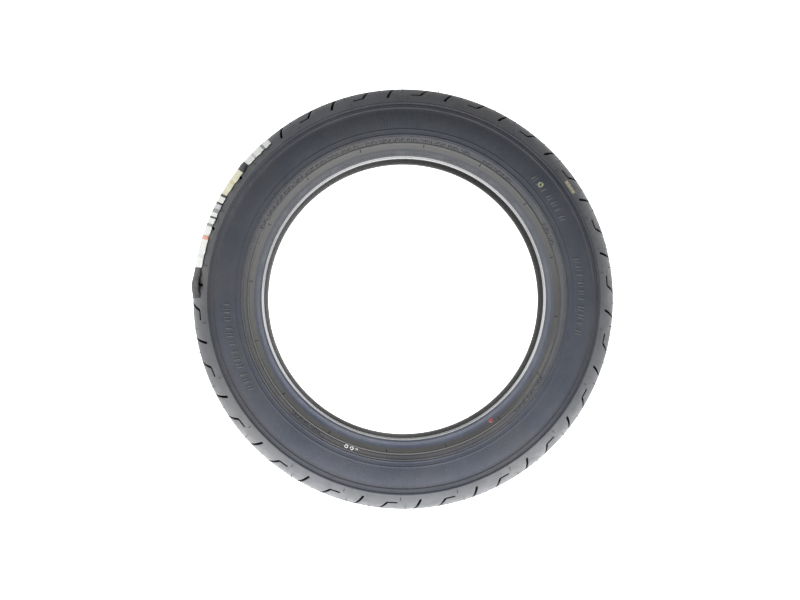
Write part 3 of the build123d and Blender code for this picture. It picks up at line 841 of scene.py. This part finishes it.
def label_paper():
    """Coated paper: white, printed with plain generic blocks, with a black strip at its lower end."""
    n = Nodes("label_paper")
    turn, _, lateral = n.polar()
    degrees = n.times(turn, 180 / math.pi)
    along = n.spread(degrees, LABEL_START - 360, LABEL_END - 360, 0.0, 1.0)
    white, warm, tan = (0.46, 0.47, 0.45), (0.44, 0.43, 0.32), (0.38, 0.35, 0.22)
    ink, grey_ink = (0.008, 0.008, 0.009), (0.14, 0.145, 0.15)
    pale_grey, light_grey, red_ink = (0.40, 0.41, 0.42), (0.33, 0.34, 0.35), (0.42, 0.20, 0.15)
    # the turn, in degrees, where each colour starts
    blocks = [
        (LABEL_START, ink), (278.3, white), (281.0, pale_grey), (282.2, white),
        (286.4, red_ink), (287.4, white), (290.2, grey_ink), (291.0, white),
        (292.4, ink), (293.1, white), (294.2, grey_ink), (295.4, light_grey),
        (296.8, ink), (297.4, white), (299.0, ink), (299.9, warm),
        (303.4, tan), (304.3, warm), (307.8, ink), (310.4, white),
        (313.0, light_grey), (313.8, white), (316.4, grey_ink), (317.2, white),
    ]
    length = LABEL_END - LABEL_START
    stops = [((start - LABEL_START) / length, colour) for start, colour in blocks]
    band = n.ramp(along, stops, constant=True)
    cells = n.add("ShaderNodeTexBrick", offset=0.37)
    joined = n.add("ShaderNodeCombineXYZ")
    n.put(n.times(turn, LABEL_RADIUS), joined.inputs["X"])
    n.put(lateral, joined.inputs["Y"])
    n.put(joined.outputs["Vector"], cells.inputs["Vector"])
    settings = {
        "Color1": (0.25, 0.25, 0.26, 1), "Color2": (1, 1, 1, 1), "Mortar": (1, 1, 1, 1),
        "Scale": 90.0, "Mortar Size": 0.08, "Bias": 0.25, "Brick Width": 0.5, "Row Height": 0.2,
    }
    for socket, value in settings.items():
        cells.inputs[socket].default_value = value
    printed = n.mix(0.55, band, cells.outputs["Color"], "MULTIPLY")
    n.put(printed, n.shader.inputs["Base Color"])
    n.put(n.spread(n.noise(120), 0.3, 0.7, 0.50, 0.66), n.shader.inputs["Roughness"])
    n.shader.inputs["Specular IOR Level"].default_value = 0.3
    n.put(n.bump(n.noise(160, 3), 0.4 * MM, 0.6), n.shader.inputs["Normal"])
    return n.material


def hump(s, middle, width):
    """A smooth hump of height 1 along the label, s from 0 to 1."""
    return math.exp(-((s - middle) / width) ** 2)


def make_label():
    """The paper label: it bridges the grooves, ripples along its edge and lifts at its black end."""
    columns, rows = 150, 30
    verts, faces = [], []
    ripple = [random.uniform(-1, 1) for _ in range(columns + 1)]
    for i in range(columns + 1):
        s = i / columns
        turn = math.radians(LABEL_START + (LABEL_END - LABEL_START) * s)
        wave = 0.35 * math.sin(9.2 * s * math.pi) + 0.35 * math.sin(31 * s * math.pi + 1) + 0.5 * ripple[i]
        reach = LABEL_LEAN * (1.10 + 0.06 * wave)
        start_down = min(1.0, s / 0.05)
        for j in range(rows + 1):
            t = 2 * j / rows - 1
            lean = reach * t
            edge = max(0.0, abs(t) - 0.72) / 0.28
            lift = 0.45 + 0.5 * wave * edge + 1.2 * edge * edge * (0.6 + 0.4 * wave)
            lift += 2.6 * hump(s, 0.07, 0.055) + 0.9 * hump(s, 0.80, 0.02)
            lift = 0.25 + (lift - 0.25) * start_down
            verts.append(tread_point(turn, lean, -lift * MM, 1))
    for i in range(columns):
        for j in range(rows):
            a = i * (rows + 1) + j
            faces.append((a, a + 1, a + rows + 2, a + rows + 1))
    label = new_piece("tread_label", verts, faces, label_paper(), ["tread_label"])
    skin = label.modifiers.new("thickness", "SOLIDIFY")
    skin.thickness = 0.3 * MM
    skin.offset = 1.0


make_label()


def make_flank_mark(name, shapes, material, height=0.05 * MM):
    """Thin painted rings on the near flank: (turn in degrees, radius, outer size, inner size), in mm."""
    verts, faces = [], []
    around = 40
    for degrees, *sizes in shapes:
        turn = math.radians(degrees)
        radius, outer, inner = (size * MM for size in sizes)
        first = len(verts)
        for size, lift in ((outer, -0.05 * MM), (outer, height), (inner, height), (inner, -0.05 * MM)):
            for a in range(around):
                angle = 2 * math.pi * a / around
                wobble = 1 + 0.035 * math.sin(3 * angle + outer / MM) + 0.02 * math.sin(7 * angle)
                u, v = size * wobble * math.cos(angle), size * wobble * math.sin(angle)
                verts.append(flank_point(turn + u / radius, radius + v, lift, -1))
        for ring in range(3):
            for a in range(around):
                b = (a + 1) % around
                low, high = first + ring * around, first + (ring + 1) * around
                faces.append((low + a, low + b, high + b, high + a))
    piece = new_piece(name, verts, faces, material, [name])


yellow = paint("yellow_green_paint", (0.28, 0.29, 0.14), (0.07, 0.075, 0.060), 0.52)
red = paint("red_paint", (0.30, 0.05, 0.045), (0.05, 0.045, 0.05), 0.50)
white_ink = paint("white_ink", (0.72, 0.72, 0.72), (0.08, 0.08, 0.085), 0.42)
brown_ink = paint("yellow_brown_ink", (0.36, 0.32, 0.19), (0.07, 0.07, 0.065), 0.48)

dot_height = mark_height + 0.06 * MM
light_dot = (50.3, WIDEST_RADIUS / MM, 4.2, 1.9)
make_flank_mark("light_point_dot", [light_dot], yellow, dot_height)
make_flank_mark("match_dot", [(144.7, 227, 3.9, 0.2)], red)
stamp_rings = [(turn, 240, 2.7, 1.6) for turn in (199.2, 201.3)]
stamp_dots = [(197.6 - 0.45 * (k % 2), 238.6 + 1.4 * (k // 2), 0.55, 0.05) for k in range(4)]
make_flank_mark("inspection_stamp", stamp_rings + stamp_dots, white_ink)

STAMP_TURN = 56.3
STAMP_LEANS = (45.2, 51.4)
STAMP_BLOCKS = 4
STAMP_START, BLOCK_SPACING, BLOCK_WIDTH = -11 * MM, 5.6 * MM, 4.9 * MM
STAMP_RADIUS = 303 * MM


def make_shoulder_stamp():
    """The ink blocks on the tread's shoulder."""
    verts, faces = [], []

    def place(u, v, h):
        return tread_point(math.radians(STAMP_TURN) + u / STAMP_RADIUS, v / tread_arc, -h, -1)

    along = [math.radians(lean) * tread_arc for lean in STAMP_LEANS]
    for k in range(STAMP_BLOCKS):
        start = STAMP_START + k * BLOCK_SPACING
        across = (start, start + BLOCK_WIDTH)
        add_block(verts, faces, place, across, along, height=0.06 * MM, bevel=0.1 * MM, skirt=0.05 * MM)
    piece = new_piece("shoulder_stamp", verts, faces, brown_ink, ["shoulder_stamp"])


make_shoulder_stamp()

# ---------------------------------------------------------------- what stays from the CAD model
body_cord = cord_fabric("body_cord", (0.30, 0.19, 0.11), math.radians(35))
breaker_cord = cord_fabric("breaker_cord", (0.34, 0.24, 0.14), math.radians(62))
chafer_cord = cord_fabric("chafer_cord", (0.075, 0.068, 0.060), math.radians(45))
core_rubber = rubber("core_rubber", (0.020, 0.020, 0.021), (0.030, 0.030, 0.031), 0.55, 0.75).material
kept = {
    "body_ply_inner": body_cord, "body_ply_outer": body_cord,
    "breaker_inner": breaker_cord, "breaker_outer": breaker_cord,
    "tread_base": core_rubber,
}
for word in ("near", "far"):
    kept["chafer_" + word] = chafer_cord
    kept["bead_filler_" + word] = core_rubber
    kept["bead_wrap_" + word] = core_rubber
    kept["bead_wires_" + word] = wire_steel()
for node, material in kept.items():
    for place in frame["nodes"][node].material_slots:
        place.material = material

# ---------------------------------------------------------------- floor, light and camera
floor_height = -crown_radius - 5 * MM


def glowing(name, colour, near, away):
    """Pale matt surface that reads as plain white, with a pool of light under the tyre."""
    n = Nodes(name)
    n.put(n.mix(n.noise(3), (*colour, 1), (0.93, 0.93, 0.93, 1)), n.shader.inputs["Base Color"])
    n.shader.inputs["Roughness"].default_value = 0.9
    n.shader.inputs["Emission Color"].default_value = (1, 1, 1, 1)
    length = n.add("ShaderNodeVectorMath", operation="LENGTH")
    n.put(n.place, length.inputs[0])
    n.put(n.spread(length.outputs["Value"], 0.40, 0.95, near, away), n.shader.inputs["Emission Strength"])
    return n.material


floor_mesh = bpy.data.meshes.new("floor")
half = 12.0
floor_corners = [(half * x, half * y, floor_height) for x, y in ((-1, -1), (1, -1), (1, 1), (-1, 1))]
floor_mesh.from_pydata(floor_corners, [], [(0, 1, 2, 3)])
floor_mesh.materials.append(glowing("floor_white", (0.9, 0.9, 0.9), 3.3, 1.05))
floor = bpy.data.objects.new("floor", floor_mesh)
bpy.context.scene.collection.objects.link(floor)

world = bpy.data.worlds.new("studio")
bpy.context.scene.world = world
world.use_nodes = True
tree = world.node_tree
background = tree.nodes["Background"]
direction = tree.nodes.new("ShaderNodeTexCoord")
split = tree.nodes.new("ShaderNodeSeparateXYZ")
tree.links.new(direction.outputs["Generated"], split.inputs[0])


def sky_ramp(socket, stops):
    """A grey ramp along one part of the direction, from -1 to 1."""
    scale = tree.nodes.new("ShaderNodeMapRange")
    scale.inputs["From Min"].default_value = -1.0
    tree.links.new(socket, scale.inputs["Value"])
    ramp = tree.nodes.new("ShaderNodeValToRGB")
    while len(ramp.color_ramp.elements) < len(stops):
        ramp.color_ramp.elements.new(0.5)
    for element, (at, level) in zip(ramp.color_ramp.elements, stops):
        element.position = at
        element.color = (level, level, level, 1)
    tree.links.new(scale.outputs["Result"], ramp.inputs["Fac"])
    return ramp.outputs["Color"]


BEHIND = [(0.0, 1.0), (0.68, 1.0), (0.80, 0.35), (1.0, 0.22)]
BEFORE = [(0.0, 0.22), (0.52, 0.15), (0.64, 0.04), (0.76, 0.04), (0.88, 0.30), (1.0, 0.40)]
behind = sky_ramp(split.outputs["Z"], BEHIND)
before = sky_ramp(split.outputs["Z"], BEFORE)
backness = sky_ramp(split.outputs["Y"], [(0.0, 0.0), (0.48, 0.0), (0.60, 1.0), (1.0, 1.0)])
room = tree.nodes.new("ShaderNodeMix")
room.data_type = "RGBA"
tree.links.new(backness, room.inputs[0])
tree.links.new(before, room.inputs[6])
tree.links.new(behind, room.inputs[7])
tree.links.new(room.outputs[2], background.inputs["Color"])
background.inputs["Strength"].default_value = 2.4


def area_light(name, place, target, size, power):
    """A round soft light that points at the target."""
    data = bpy.data.lights.new(name, "AREA")
    data.shape = "DISK"
    data.size = size
    data.energy = power
    light = bpy.data.objects.new(name, data)
    light.location = place
    light.rotation_euler = (Vector(target) - Vector(place)).to_track_quat("-Z", "Y").to_euler()
    bpy.context.scene.collection.objects.link(light)


area_light("key", (-1.9, -1.35, 1.05), (0, 0, 0), 0.7, 27)
area_light("front", (0.1, -2.5, -0.15), (0, 0, 0), 0.9, 13)
area_light("fill", (1.9, -1.5, 0.5), (0, 0, 0), 0.9, 7)

camera_data = bpy.data.cameras.new("camera")
camera_data.sensor_width = 36
camera_data.lens = 45.9
camera_data.clip_start = 0.01
camera = bpy.data.objects.new("camera", camera_data)
bpy.context.scene.collection.objects.link(camera)
camera.location = (-0.0263, -1.5955, -0.0348)
to_the_right, upwards = math.radians(0.745), math.radians(1.17)
camera.rotation_euler = (math.radians(90) + upwards, 0, -to_the_right)
bpy.context.scene.camera = camera
bpy.context.scene.view_settings.view_transform = "Standard"
